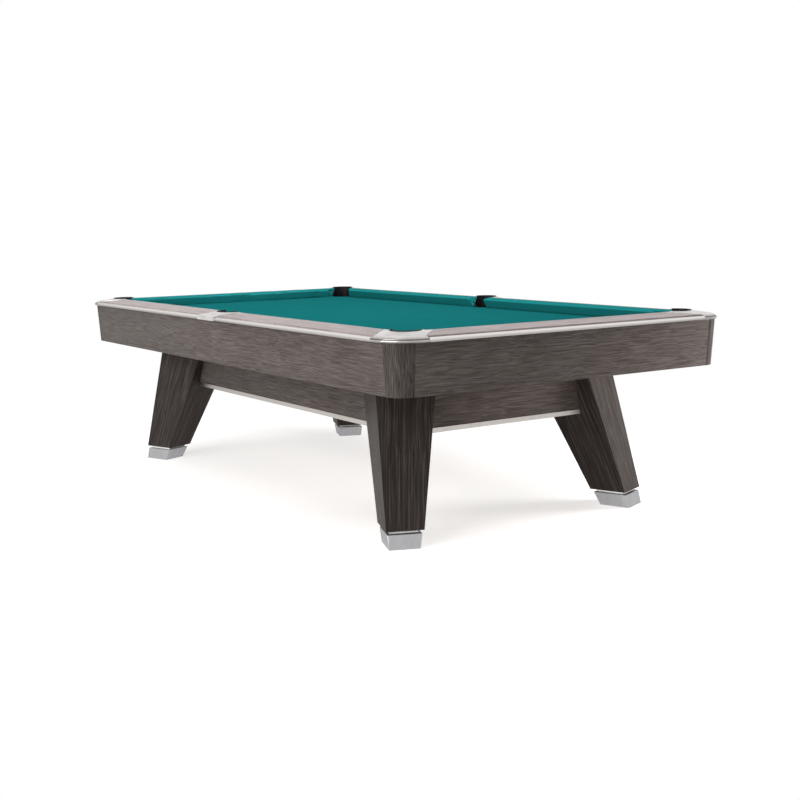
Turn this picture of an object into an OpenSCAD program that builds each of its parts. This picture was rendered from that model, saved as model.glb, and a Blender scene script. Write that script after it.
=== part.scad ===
// Nine-foot pool table: slate bed, six cushioned rails, cast pocket plates, drop pockets,
// slanted aprons and a beam frame on four splayed legs with levelling shoes.
// Origin: on the floor under the middle of the bed. X runs along the table, Z up.

/* [Playing field] */
// Length of the field between the cushion noses
play_l = 2540; // [2235:5:2640]
// Width of the field between the cushion noses
play_w = 1270; // [1118:5:1320]
// Height of the cloth above the floor
bed_h = 772; // [745:1:790]
// Height of the cushion nose above the cloth
nose_h = 36.5; // [35:0.5:38]

/* [Bed] */
// Thickness of the slate
slate_t = 25.4; // [19:0.2:30]
// Reach of the slate past the cushion nose
slate_reach = 100; // [96:1:108]
// Thickness of the bed cloth
cloth_t = 1; // [0.8:0.1:1.5]
// Thickness of the backing boards under the slate
backing_t = 19; // [12:1:25]

/* [Rails] */
// Width of a rail from the cushion nose to its outer edge
rail_w = 177; // [172:1:195]
// Height of the rail top above the cloth, at the cushion
rail_rise = 48; // [45:1:51]
// Fall of the rail top from the cushion to the edge trim
rail_fall = 9; // [5:1:12]
// Width of the cushion from its nose to the rail top
cushion_w = 50; // [46:1:54]
// Set-back of the cushion foot from its nose
cushion_foot = 28; // [22:1:30]
// Radius of the cushion nose
nose_r = 4; // [3:0.5:5]
// Width of the edge trim seen from above
trim_w = 25; // [22:1:30]
// Step from the rail top's outer edge down to the edge trim
trim_step = 4.5; // [2:0.5:6]
// Height of the edge trim
trim_h = 16.5; // [15:0.5:19]
// Corner radius of the rails, seen from above
rail_corner_r = 135; // [131:1:140]

/* [Pockets] */
// Width of a corner pocket mouth between the cushion noses
corner_mouth = 114; // [110:1:124]
// Width of a side pocket mouth between the cushion noses
side_mouth = 120; // [116:1:124]
// Angle between a cushion nose and its face at a corner pocket
corner_angle = 143; // [140:1:145]
// Angle between a cushion nose and its face at a side pocket
side_angle = 104; // [100:1:108]
// Set-back of a corner pocket's centre from both nose lines
corner_set = 27; // [25:1:30]
// Set-back of a side pocket's centre from the nose line
side_set = 58; // [56:1:60]
// Radius of the hole in a pocket casting
pocket_r = 57; // [56:0.5:59]
// Wall of a pocket cup
cup_wall = 3.7; // [3:0.1:4.5]
// Depth of a pocket cup below the cloth
cup_depth = 132; // [110:1:145]
// Reach of the cup's flange past the casting hole
flange_reach = 10; // [7:1:11]

/* [Castings] */
// Reach of a corner casting's arms back from the nose line
corner_arm = 73; // [68:1:78]
// Half length of a side casting's plate at the cushion
side_arm = 111; // [104:1:116]
// Height of a casting's rim at its hole, above the rail top
rim_rise = 2.5; // [0.5:0.5:4]
// Depth of the rail recess that a casting lies in, at the trim
plate_t = 6; // [5:0.5:8]
// Straight run of a corner casting's lip past its rounded corner
lip_run = 14; // [10:1:20]
// Half width of a side casting's lip
side_lip = 82; // [76:1:88]

/* [Aprons] */
// Height of the aprons
apron_h = 186; // [150:1:195]
// Thickness of the aprons
apron_t = 20; // [16:1:24]
// Set-back of the apron's top edge from the rail's outer edge
apron_set = 21; // [18:1:26]
// Inward slant of the apron over its height
apron_slant = 12; // [6:1:16]
// Outer radius of an apron corner at its top
apron_corner_r = 82; // [76:1:88]
// Width of the seam between an apron and an apron corner
apron_seam = 0.6; // [0.4:0.1:0.9]

/* [Frame] */
// Outer length of the beam frame
frame_l = 2050; // [1990:5:2070]
// Outer width of the beam frame
frame_w = 932; // [900:2:950]
// Thickness of the beams
beam_t = 38; // [30:1:45]
// Height of the beams' lower edge above the floor
beam_low = 393; // [360:1:430]
// Height of the bright strip along the beams' lower edge
strip_h = 19; // [12:1:26]
// Thickness of that strip
strip_t = 3; // [2:0.5:4]
// Width of the cross joists
joist_w = 60; // [45:1:75]
// Height of the cross joists
joist_h = 45; // [38:1:60]
// Height of the stringers on the joists
stringer_h = 22; // [18:1:30]
// Width of the stringers
stringer_w = 60; // [45:1:70]
// Side of the corner blocks inside the frame
block_w = 90; // [80:1:100]

/* [Legs] */
// Set-back of a leg's centre from the frame's end, at the frame's top
head_in_x = 142; // [132:1:148]
// Set-back of a leg's centre from the frame's side, at the frame's top
head_in_y = 47; // [40:1:54]
// Outward splay of a leg along the table, from the frame's top to the floor
splay_x = 214; // [190:1:230]
// Outward splay of a leg across the table, from the frame's top to the floor
splay_y = 141; // [120:1:160]
// Width of a leg at its lower end
ankle_w = 146; // [138:1:160]
// Depth of a leg at its lower end
ankle_d = 158; // [150:1:172]
// Width of a leg at the frame's top
head_w = 246; // [232:1:260]
// Depth of a leg at the frame's top
head_d = 284; // [272:1:300]
// Turn of a leg about the vertical
leg_turn = 21.6; // [15:0.1:30]

/* [Levellers] */
// Width of a shoe at the floor
shoe_w = 121; // [112:1:128]
// Depth of a shoe at the floor
shoe_d = 132; // [124:1:140]
// Set-back of a shoe's top from the sides of its leg
shoe_inset = 6.5; // [4:0.5:9]
// Height of a shoe's block
shoe_h = 55; // [45:1:65]
// Height of the neck that shows between a shoe and its leg
neck_gap = 12; // [8:1:16]
// Set-back of the neck from the sides of its leg
neck_inset = 18; // [12:0.5:22]
// Radius of the post that guides a shoe in its leg
post_r = 30; // [24:1:34]
// Length of the post inside the leg
post_in = 60; // [45:1:75]
// Radius of a levelling screw
screw_r = 8; // [6:0.5:10]
// Length of a levelling screw
screw_l = 165; // [140:1:190]
// Travel of a shoe
shoe_travel = 20; // [10:1:25]

/* [Fasteners] */
// Radius of a rail bolt
rail_bolt_r = 5; // [4:0.5:6]
// Radius of a leg bolt
leg_bolt_r = 6; // [5:0.5:8]
// Radius of a rail sight
sight_r = 5.5; // [4:0.5:7]

/* [Hidden] */

$fn = 64;
fit = 0.3;        // clearance round cups, bolts and cushion feet
run_fit = 0.08;   // running clearance of what slides or turns
past = 1;         // how far a cut runs past the face it opens
far_off = 400;    // longer than any pocket is wide

// Heights, from the floor up
slate_top = bed_h - cloth_t;
slate_low = slate_top - slate_t;
backing_low = slate_low - backing_t;
stringer_low = backing_low - stringer_h;
frame_top = stringer_low - joist_h;
rail_top = bed_h + rail_rise;
edge_top = rail_top - rail_fall;       // outer edge of the rail's top
trim_top = edge_top - trim_step;
apron_top = trim_top - trim_h;
apron_low = apron_top - apron_h;
plate_low = edge_top - plate_t;
rim_top = rail_top + rim_rise;
nose_z = bed_h + nose_h;
cup_low = bed_h - cup_depth;

// Plan sizes, from the middle out
half_l = play_l / 2;
half_w = play_w / 2;
slate_l = play_l + 2 * slate_reach;
slate_w = play_w + 2 * slate_reach;
slate_joint = slate_l / 6;            // from the middle to the first joint
board_gap = 0.5;                      // between two backing boards
trim_u = rail_w - trim_w;
rail_foot = 34;                       // where the rail's wood starts behind the cushion
cushion_toe = 9;                      // height of the cushion's upright foot
cushion_back = 12;                    // height at which the cushion's back starts to lean
rebate_u = slate_reach + 4;           // where the rail steps up past the slate
corner_c = [half_l + rail_w - rail_corner_r, half_w + rail_w - rail_corner_r];
corner_p = [half_l + corner_set, half_w + corner_set];
side_p = [0, half_w + side_set];
seam_x = corner_c.x - lip_run;
seam_y = corner_c.y - lip_run;
tip = corner_mouth / sqrt(2);         // from the nose lines' crossing to a cushion's tip
flange_r = pocket_r + flange_reach;
flange_t = 4;
cup_step = 14;                        // the step between the cup's floor and its wall
cup_lip = 2.5;                        // the cup's height above the casting's rim
cup_top = rim_top + cup_lip;
cut_top = cup_top + past;
cup_r = pocket_r - fit;
flange_room_r = flange_r + fit;
slate_hole_r = pocket_r + 1;
backing_hole_r = slate_hole_r + 3;

// Aprons
apron_y = half_w + rail_w - apron_set;
apron_x = half_l + rail_w - apron_set;
apron_c = [apron_x - apron_corner_r, apron_y - apron_corner_r];
cleat_u = rebate_u + 4;
cleat_h = 45;
cleat_l = 120;

// Frame and legs
half_frame_l = frame_l / 2;
half_frame_w = frame_w / 2;
head_x = half_frame_l - head_in_x;
head_y = half_frame_w - head_in_y;
foot_x = head_x + splay_x;
foot_y = head_y + splay_y;
beam_h = frame_top - beam_low;
leg_low = shoe_h + neck_gap;
post_top = leg_low + post_in;
neck_half = leg_half(leg_low) - [neck_inset, neck_inset];
shoe_half = leg_half(leg_low) - [shoe_inset, shoe_inset];
cup_room = 20;                        // between the frame's wood and a pocket cup
joist_reach = slate_w / 2 - 2 * cup_room;
mid_joist_reach = side_p.y - cup_r - cup_room;
stringer_reach = corner_p.x - cup_r - cup_room;
stringer_y = [side_p.y - cup_r - cup_room - stringer_w / 2, 0.16 * play_w];

// Levelling screw: a rod with a collar that the shoe holds
screw_low = 22;
collar_h = 8;
collar_reach = 5;

// Fasteners
bolt_head_h = 7;
rail_bolt_u = 70;
rail_bolt_x = [0.16, 0.5, 0.85] * half_l;
rail_bolt_y = [-1, 0, 1] * (play_w / 3);
rail_bolt_in = 24;                    // depth of a bolt's hole in the rail
rail_bolt_low = backing_low - bolt_head_h;
bolt_end_room = 2;                    // left beyond the end of a bolt or screw
slate_bolt_r = rail_bolt_r + 1;
leg_bolt_z = [0.28, 0.66];            // along the beam's height, for the lower and upper bolt
leg_bolt_in = 38;                     // how far a leg bolt runs into the leg
end_bolt_y = half_frame_w - beam_t - 0.25 * block_w;
side_bolt_x = half_frame_l - beam_t - 0.4 * block_w;
bolt_stagger = 34;                    // keeps crossing bolts apart
sight_t = 1.6;
sight_pitch = play_l / 8;

LEFT = -1;
RIGHT = 1;
FRONT = -1;
BACK = 1;
SIDES = [LEFT, RIGHT];

// ---------- placing ----------

// Carries a shape of the right back quarter to another quarter.
module quarter(x_side, y_side)
    mirror([x_side == LEFT ? 1 : 0, 0, 0])
        mirror([0, y_side == FRONT ? 1 : 0, 0])
            children();

// Stands a rail section (u outward from the nose line, z up) along the back rail from x0 to x1.
module along_side(x0, x1)
    translate([x0, half_w, 0])
        rotate([90, 0, 90])
            linear_extrude(x1 - x0)
                children();

// The same along the right end rail, from y0 to y1.
module along_end(y0, y1)
    translate([half_l, y1, 0])
        rotate([90, 0, 0])
            linear_extrude(y1 - y0)
                children();

// A plan shape made solid between two heights.
module slab(z0, z1)
    translate([0, 0, z0])
        linear_extrude(z1 - z0)
            children();

// ---------- plan cuts at the pockets ----------

// Everything on the pocket's side of the back cushion's face at a corner pocket.
module past_corner_face()
    translate([half_l - tip, half_w])
        rotate(180 - corner_angle)
            translate([-far_off, -far_off])
                square([2 * far_off, far_off]);

// The same for the end cushion: the first one mirrored in the corner's diagonal.
module past_end_face()
    translate([half_l, half_w])
        mirror([1, -1])
            translate([-half_l, -half_w])
                past_corner_face();

// The open mouth between both cushion faces of a corner pocket.
module corner_mouth_plan()
    intersection() {
        past_corner_face();
        past_end_face();
        translate([half_l - far_off / 2, half_w - far_off / 2])
            square(far_off / 2 + corner_set);
    }

// Everything on the pocket's side of the cushion's face right of a side pocket.
module past_side_face()
    translate([side_mouth / 2, half_w])
        rotate(side_angle)
            translate([-far_off, 0])
                square([2 * far_off, far_off]);

// The open mouth between both cushion faces of a side pocket.
module side_mouth_plan()
    intersection() {
        past_side_face();
        mirror([1, 0])
            past_side_face();
        translate([-far_off / 2, half_w - far_off / 2])
            square([far_off, far_off / 2 + side_set]);
    }

// Plan of a corner casting: two arms that narrow towards the cushions, and the corner between
// the seams. The field and the mouth are cut from it later.
module corner_plate_plan()
    polygon([
        [half_l - corner_arm, half_w + cushion_w],
        [seam_x, half_w + trim_u],
        [seam_x, half_w + far_off],
        [half_l + far_off, half_w + far_off],
        [half_l + far_off, seam_y],
        [half_l + trim_u, seam_y],
        [half_l + cushion_w, half_w - corner_arm]
    ]);

// Plan of a side casting: a plate that narrows towards the trim, and the lip's stretch of edge.
module side_plate_plan()
    polygon([
        [-side_arm, half_w + cushion_w],
        [-side_lip, half_w + trim_u],
        [-side_lip, half_w + rail_w + past],
        [side_lip, half_w + rail_w + past],
        [side_lip, half_w + trim_u],
        [side_arm, half_w + cushion_w]
    ]);

// The field up to the rail tops, where no casting or cup may stand above the cloth.
module field_plan()
    square([2 * (half_l + cushion_w), 2 * (half_w + cushion_w)], center = true);

// Round hole of each pocket in the quarter's bed, with the slate's corner beyond it cut off.
module bed_holes(r) {
    translate(corner_p)
        circle(r);
    translate(corner_p)
        square(far_off);
    translate(side_p)
        circle(r);
    translate([-r, side_p.y])
        square([2 * r, far_off]);
}

module all_bed_holes(r)
    for (x_side = SIDES, y_side = SIDES)
        quarter(x_side, y_side)
            bed_holes(r);

// ---------- rail sections: x is u, y is the height ----------

module rail_section()
    polygon([
        [rail_foot, bed_h],
        [rebate_u, bed_h],
        [rebate_u, apron_top],
        [trim_u, apron_top],
        [trim_u, edge_top],
        [cushion_w, rail_top],
        [rail_foot, bed_h + cushion_back]
    ]);

module cushion_section() {
    nose_c = [nose_r, nose_z];
    nose = [for (a = [105:15:225]) nose_c + nose_r * [cos(a), sin(a)]];
    polygon(concat(
        [[cushion_w, rail_top]],
        nose,
        [
            [cushion_foot, bed_h + cushion_toe],
            [cushion_foot, bed_h + fit],
            [rail_foot, bed_h + fit],
            [rail_foot, bed_h + cushion_back]
        ]
    ));
}

function arc(c, r, a0, a1) = [for (i = [0:8]) c + r * [cos(a0 + (a1 - a0) * i / 8),
                                                     sin(a0 + (a1 - a0) * i / 8)]];

// Edge trim: a bar with a large round above and a small one below.
module trim_section() {
    big = 10;
    small = 5;
    polygon(concat(
        [[trim_u, apron_top], [trim_u, trim_top]],
        arc([rail_w - big, trim_top - big], big, 90, 0),
        arc([rail_w - small, apron_top + small], small, 0, -90)
    ));
}

// Corner casting: the sloped plate, a dome that turns down to a groove, and a bead under it.
module corner_casting_section() {
    dome = 40;
    dome_end = 60;
    edge = 5;
    edge_end = -20;
    bead = 6;
    bead_start = 65;
    top_turn = 90 - atan(rail_fall / (trim_u - cushion_w));
    dome_c = [trim_u, edge_top] - dome * [cos(top_turn), sin(top_turn)];
    edge_c = dome_c + (dome - edge) * [cos(dome_end), sin(dome_end)];
    polygon(concat(
        plate_points(rail_w - rail_corner_r),
        arc(dome_c, dome, top_turn, dome_end),
        arc(edge_c, edge, dome_end, edge_end),
        arc([rail_w - bead, apron_top + bead], bead, bead_start, -90),
        [[trim_u, apron_top], [trim_u, plate_low]]
    ));
}

// Side casting: the sloped plate runs on to a flat upright face with a small round above it.
module side_casting_section() {
    edge = 3;
    foot = 1.5;
    drop = (rail_w - edge - trim_u) * rail_fall / (trim_u - cushion_w);
    polygon(concat(
        plate_points(0),
        arc([rail_w - edge, edge_top - drop - edge], edge, 90, 0),
        arc([rail_w - foot, apron_top + foot], foot, 0, -90),
        [[trim_u, apron_top], [trim_u, plate_low]]
    ));
}

function plate_points(u) = [[u, plate_low], [u, rail_top], [cushion_w, rail_top]];

// ---------- bed ----------

module bed_plan(x0, x1)
    difference() {
        translate([x0, -slate_w / 2])
            square([x1 - x0, slate_w]);
        all_bed_holes(slate_hole_r);
        rail_bolt_places()
            circle(slate_bolt_r);
    }

// Carries a shape to every rail bolt.
module rail_bolt_places() {
    for (x_side = SIDES, y_side = SIDES, x = rail_bolt_x)
        translate([x_side * x, y_side * (half_w + rail_bolt_u), 0])
            children();
    for (x_side = SIDES, y = rail_bolt_y)
        translate([x_side * (half_l + rail_bolt_u), y, 0])
            children();
}

module slate(x0, x1)
    color("slategray")
        slab(slate_low, slate_top)
            bed_plan(x0, x1);

module slate_backing()
    color("burlywood")
        for (x0 = [-3, -1, 1])
            slab(backing_low, slate_low)
                difference() {
                    bed_plan(x0 * slate_joint + board_gap / 2, (x0 + 2) * slate_joint - board_gap / 2);
                    all_bed_holes(backing_hole_r);
                }

module bed_cloth()
    color("teal")
        slab(slate_top, bed_h)
            bed_plan(-slate_l / 2, slate_l / 2);

// ---------- rails ----------

// Room for a cup and its flange in the rails' wood.
module flange_room(at)
    translate(at)
        cylinder(r = flange_room_r, h = cut_top);

module sight_places_side()
    for (i = [1:3])
        translate([i * sight_pitch, half_w + (cushion_w + trim_u) / 2, (rail_top + edge_top) / 2])
            rotate([-atan(rail_fall / (trim_u - cushion_w)), 0, 0])
                children();

module sight_places_end()
    for (i = [-1:1])
        translate([half_l + (cushion_w + trim_u) / 2, i * sight_pitch, (rail_top + edge_top) / 2])
            rotate([0, atan(rail_fall / (trim_u - cushion_w)), 0])
                children();

module side_rail(x_side, y_side)
    color("#a89f9f")
        quarter(x_side, y_side)
            difference() {
                along_side(0, seam_x)
                    rail_section();
                slab(0, cut_top)
                    past_corner_face_local();
                slab(0, cut_top)
                    past_side_face_local();
                slab(plate_low, cut_top) {
                    corner_plate_plan();
                    side_plate_plan();
                }
                flange_room(corner_p);
                flange_room(side_p);
                for (x = rail_bolt_x)
                    translate([x, half_w + rail_bolt_u, 0])
                        cylinder(r = rail_bolt_r, h = bed_h + rail_bolt_in);
                sight_places_side()
                    translate([0, 0, -sight_t])
                        cylinder(r = sight_r, h = sight_t + past);
            }

// The mouth's cuts, held to the rail that they belong to.
module past_corner_face_local()
    intersection() {
        past_corner_face();
        translate([half_l - tip - far_off / 4, 0])
            square([far_off, corner_p.y]);
    }

module past_side_face_local()
    intersection() {
        past_side_face();
        translate([-far_off / 2, 0])
            square([far_off, side_p.y]);
    }

module end_rail(x_side)
    color("#a89f9f")
        mirror([x_side == LEFT ? 1 : 0, 0, 0])
            difference() {
                along_end(-seam_y, seam_y)
                    rail_section();
                for (y_side = SIDES)
                    quarter(RIGHT, y_side) {
                        slab(0, cut_top)
                            past_end_face_local();
                        slab(plate_low, cut_top)
                            corner_plate_plan();
                        flange_room(corner_p);
                    }
                for (y = rail_bolt_y)
                    translate([half_l + rail_bolt_u, y, 0])
                        cylinder(r = rail_bolt_r, h = bed_h + rail_bolt_in);
                sight_places_end()
                    translate([0, 0, -sight_t])
                        cylinder(r = sight_r, h = sight_t + past);
            }

module past_end_face_local()
    intersection() {
        past_end_face();
        translate([0, half_w - tip - far_off / 4])
            square([corner_p.x, far_off]);
    }

module side_cushion(x_side, y_side)
    color("teal")
        quarter(x_side, y_side)
            difference() {
                along_side(0, half_l + cushion_w)
                    cushion_section();
                slab(0, cut_top) {
                    past_corner_face();
                    past_side_face();
                }
            }

module end_cushion(x_side)
    color("teal")
        mirror([x_side == LEFT ? 1 : 0, 0, 0])
            difference() {
                along_end(-half_w - cushion_w, half_w + cushion_w)
                    cushion_section();
                for (y_side = SIDES)
                    quarter(RIGHT, y_side)
                        slab(0, cut_top)
                            past_end_face();
            }

module side_rail_trims()
    color("#d8d6d2")
        for (x_side = SIDES, y_side = SIDES)
            quarter(x_side, y_side)
                along_side(side_lip, seam_x)
                    trim_section();

module end_rail_trims()
    color("#d8d6d2")
        for (x_side = SIDES)
            mirror([x_side == LEFT ? 1 : 0, 0, 0])
                along_end(-seam_y, seam_y)
                    trim_section();

module rail_sights()
    color("ivory")
        for (x_side = SIDES) {
            for (y_side = SIDES)
                quarter(x_side, y_side)
                    sight_places_side()
                        translate([0, 0, -sight_t])
                            cylinder(r = sight_r, h = sight_t);
            mirror([x_side == LEFT ? 1 : 0, 0, 0])
                sight_places_end()
                    translate([0, 0, -sight_t])
                        cylinder(r = sight_r, h = sight_t);
        }

// ---------- pocket castings and cups ----------

// Cone that lifts a casting's plate to the rim of its hole; it starts at the trim's line.
module rim_cone(at, foot_r)
    translate([at.x, at.y, 0])
        rotate_extrude($fn = 128)
            polygon([
                [0, plate_low],
                [0, rim_top],
                [pocket_r, rim_top],
                [foot_r, edge_top],
                [foot_r, plate_low]
            ]);

module corner_casting(x_side, y_side)
    color("silver")
        quarter(x_side, y_side)
            difference() {
                intersection() {
                    union() {
                        along_side(half_l - corner_arm - past, corner_c.x)
                            corner_casting_section();
                        along_end(half_w - corner_arm - past, corner_c.y)
                            corner_casting_section();
                        translate([corner_c.x, corner_c.y, 0])
                            rotate_extrude(angle = 90, $fn = 128)
                                translate([rail_corner_r - rail_w, 0])
                                    corner_casting_section();
                        rim_cone(corner_p, trim_u - corner_set);
                    }
                    slab(0, cut_top)
                        corner_plate_plan();
                }
                slab(0, cut_top) {
                    field_plan();
                    corner_mouth_plan();
                    translate(corner_p)
                        circle(pocket_r);
                }
            }

module side_casting(y_side)
    color("silver")
        quarter(RIGHT, y_side)
            difference() {
                intersection() {
                    union() {
                        along_side(-side_arm - past, side_arm + past)
                            side_casting_section();
                        rim_cone(side_p, trim_u - side_set);
                    }
                    slab(0, cut_top)
                        side_plate_plan();
                }
                slab(0, cut_top) {
                    field_plan();
                    side_mouth_plan();
                    translate(side_p)
                        circle(pocket_r);
                }
            }

// A moulded cup with a flange under the casting and a lip that shows above the casting's rim.
module cup_body(at)
    translate([at.x, at.y, 0])
        rotate_extrude($fn = 96)
            difference() {
                union() {
                    translate([0, cup_low])
                        square([cup_r, cup_top - cup_low]);
                    translate([0, plate_low - flange_t])
                        square([flange_r, flange_t]);
                }
                translate([0, cup_low + cup_wall + cup_step])
                    square([cup_r - cup_wall, cup_depth + rail_rise]);
                translate([0, cup_low + cup_wall])
                    square([cup_r - cup_wall - cup_step, cup_depth]);
            }

module corner_cup(x_side, y_side)
    color("#1b1b1c")
        quarter(x_side, y_side)
            difference() {
                cup_body(corner_p);
                slab(bed_h, cut_top) {
                    field_plan();
                    corner_mouth_plan();
                }
            }

module side_cup(y_side)
    color("#1b1b1c")
        quarter(RIGHT, y_side)
            difference() {
                cup_body(side_p);
                slab(bed_h, cut_top) {
                    field_plan();
                    side_mouth_plan();
                }
            }

// ---------- aprons ----------

// Apron section: x outward from the apron's inner top edge, y the height.
module apron_section()
    polygon([
        [-apron_t, apron_top],
        [0, apron_top],
        [-apron_slant, apron_low],
        [-apron_slant - apron_t, apron_low]
    ]);

module side_apron(y_side)
    color("#6a625e")
        quarter(RIGHT, y_side)
            along_side(-apron_c.x + apron_seam, apron_c.x - apron_seam)
                translate([apron_y - half_w, 0])
                    apron_section();

module end_apron(x_side)
    color("#4f4a48")
        mirror([x_side == LEFT ? 1 : 0, 0, 0])
            along_end(-apron_c.y + apron_seam, apron_c.y - apron_seam)
                translate([apron_x - half_l, 0])
                    apron_section();

module apron_corners()
    color("#4a4541")
        for (x_side = SIDES, y_side = SIDES)
            quarter(x_side, y_side)
                translate([apron_c.x, apron_c.y, 0])
                    rotate_extrude(angle = 90, $fn = 96)
                        translate([apron_corner_r, 0])
                            apron_section();

// Glue blocks that hold the aprons to the rails.
module cleat_section(back_u)
    polygon([
        [cleat_u, apron_top],
        [back_u, apron_top],
        [back_u - cleat_h * apron_slant / apron_h, apron_top - cleat_h],
        [cleat_u, apron_top - cleat_h]
    ]);

module apron_cleats()
    color("burlywood")
        for (x_side = SIDES) {
            for (y_side = SIDES)
                quarter(x_side, y_side)
                    for (x = [1, 2, 3] * sight_pitch)
                        along_side(x - cleat_l / 2, x + cleat_l / 2)
                            cleat_section(rail_w - apron_set - apron_t);
            mirror([x_side == LEFT ? 1 : 0, 0, 0])
                for (y = [-1, 1] * sight_pitch)
                    along_end(y - cleat_l / 2, y + cleat_l / 2)
                        cleat_section(rail_w - apron_set - apron_t);
        }

// ---------- frame ----------

module side_beam(y_side)
    color("#57504c")
        quarter(RIGHT, y_side)
            difference() {
                translate([-half_frame_l, half_frame_w - beam_t, beam_low])
                    cube([frame_l, beam_t, beam_h]);
                leg_bolt_places()
                    cylinder(r = leg_bolt_r + fit, h = far_off);
            }

module end_beam(x_side)
    color("#4b4542")
        mirror([x_side == LEFT ? 1 : 0, 0, 0])
            difference() {
                translate([half_frame_l - beam_t, beam_t - half_frame_w, beam_low])
                    cube([beam_t, frame_w - 2 * beam_t, beam_h]);
                leg_bolt_places()
                    cylinder(r = leg_bolt_r + fit, h = far_off);
            }

module corner_blocks()
    color("burlywood")
        difference() {
            for (x_side = SIDES, y_side = SIDES)
                quarter(x_side, y_side)
                    translate([half_frame_l - beam_t - block_w, half_frame_w - beam_t - block_w, beam_low])
                        cube([block_w, block_w, beam_h]);
            leg_bolt_places()
                cylinder(r = leg_bolt_r + fit, h = far_off);
        }

// Carries a bolt that points outward (+Z of its own) from the quarter's corner block.
module quarter_bolt_places()
    for (share = leg_bolt_z) {
        z = beam_low + share * beam_h;
        translate([half_frame_l - beam_t - block_w, end_bolt_y, z + bolt_stagger])
            rotate([0, 90, 0])
                children();
        translate([side_bolt_x, half_frame_w - beam_t - block_w, z])
            rotate([-90, 0, 0])
                children();
    }

module leg_bolt_places()
    for (x_side = SIDES, y_side = SIDES)
        quarter(x_side, y_side)
            quarter_bolt_places()
                children();

module leg_bolts()
    color("dimgray")
        leg_bolt_places() {
            cylinder(r = leg_bolt_r, h = block_w + beam_t + leg_bolt_in);
            translate([0, 0, -bolt_head_h])
                cylinder(r = 2 * leg_bolt_r, h = bolt_head_h);
        }

module beam_strips()
    color("#c9c9c7")
        difference() {
            for (side = SIDES) {
                translate([-head_x, side > 0 ? half_frame_w : -half_frame_w - strip_t, beam_low])
                    cube([2 * head_x, strip_t, strip_h]);
                translate([side > 0 ? half_frame_l : -half_frame_l - strip_t, -head_y, beam_low])
                    cube([strip_t, 2 * head_y, strip_h]);
            }
            for (x_side = SIDES, y_side = SIDES)
                quarter(x_side, y_side)
                    leg_block(leg_low, leg_half(leg_low), frame_top, leg_half(frame_top));
        }

module cross_joists()
    color("burlywood")
        for (i = [-2:2]) {
            reach = i == 0 ? mid_joist_reach : joist_reach;
            translate([i * slate_joint - joist_w / 2, -reach, frame_top])
                cube([joist_w, 2 * reach, joist_h]);
        }

module stringers()
    color("burlywood")
        for (y = stringer_y, side = SIDES)
            translate([-stringer_reach, side * y - stringer_w / 2, stringer_low])
                cube([2 * stringer_reach, stringer_w, stringer_h]);

// ---------- legs ----------

// Centre of the leg's slanting axis at a height, and half its size there.
function leg_centre(z) =
    let (rise = z / frame_top)
    [foot_x + (head_x - foot_x) * rise, foot_y + (head_y - foot_y) * rise];
function leg_half(z) =
    let (rise = (z - leg_low) / (frame_top - leg_low))
    [ankle_d + (head_d - ankle_d) * rise, ankle_w + (head_w - ankle_w) * rise] / 2;
function turned(p) = [p.x * cos(leg_turn) - p.y * sin(leg_turn),
                      p.x * sin(leg_turn) + p.y * cos(leg_turn)];
function leg_ring(z, half) = [for (s = [[-1, -1], [1, -1], [1, 1], [-1, 1]])
    let (p = leg_centre(z) + turned([s.x * half.x, s.y * half.y])) [p.x, p.y, z]];

// A six-faced block round the leg's axis between two heights, with half its size at each.
module leg_block(z0, half0, z1, half1)
    polyhedron(
        points = concat(leg_ring(z0, half0), leg_ring(z1, half1)),
        faces = [[0, 1, 2, 3], [7, 6, 5, 4], [0, 4, 5, 1], [1, 5, 6, 2], [2, 6, 7, 3], [3, 7, 4, 0]]
    );

// The leveller's upright axis, in the middle of the post's seat in the leg.
module at_post(z)
    translate([leg_centre(leg_low + post_in / 2).x, leg_centre(leg_low + post_in / 2).y, z])
        children();

module leg(x_side, y_side)
    color("#4a4541")
        quarter(x_side, y_side)
            difference() {
                leg_block(leg_low, leg_half(leg_low), frame_top, leg_half(frame_top));
                translate([0, 0, beam_low])
                    cube([half_frame_l, half_frame_w, beam_h + past]);
                at_post(leg_low - past)
                    cylinder(r = post_r + run_fit, h = post_in + past + fit);
                at_post(leg_low)
                    cylinder(r = screw_r + run_fit, h = screw_low + screw_l + bolt_end_room - leg_low);
                quarter_bolt_places()
                    cylinder(r = leg_bolt_r, h = block_w + beam_t + leg_bolt_in + past);
            }

// ---------- levellers ----------

module shoe(x_side, y_side)
    color("silver")
        quarter(x_side, y_side)
            difference() {
                union() {
                    leg_block(0, [shoe_d, shoe_w] / 2, shoe_h, shoe_half);
                    leg_block(shoe_h, neck_half, leg_low, neck_half);
                    at_post(shoe_h)
                        cylinder(r = post_r, h = post_top - shoe_h);
                }
                at_post(screw_low - run_fit)
                    cylinder(r = screw_r + collar_reach + run_fit, h = collar_h + 2 * run_fit);
                at_post(screw_low)
                    cylinder(r = screw_r + run_fit, h = post_top);
            }

module screw(x_side, y_side)
    color("gray")
        quarter(x_side, y_side)
            at_post(screw_low) {
                cylinder(r = screw_r, h = screw_l);
                cylinder(r = screw_r + collar_reach, h = collar_h);
            }

module rail_bolts()
    color("dimgray")
        rail_bolt_places()
            translate([0, 0, rail_bolt_low]) {
                cylinder(r = rail_bolt_r, h = bed_h + rail_bolt_in - bolt_end_room - rail_bolt_low);
                cylinder(r = 2 * rail_bolt_r, h = bolt_head_h);
            }

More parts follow.
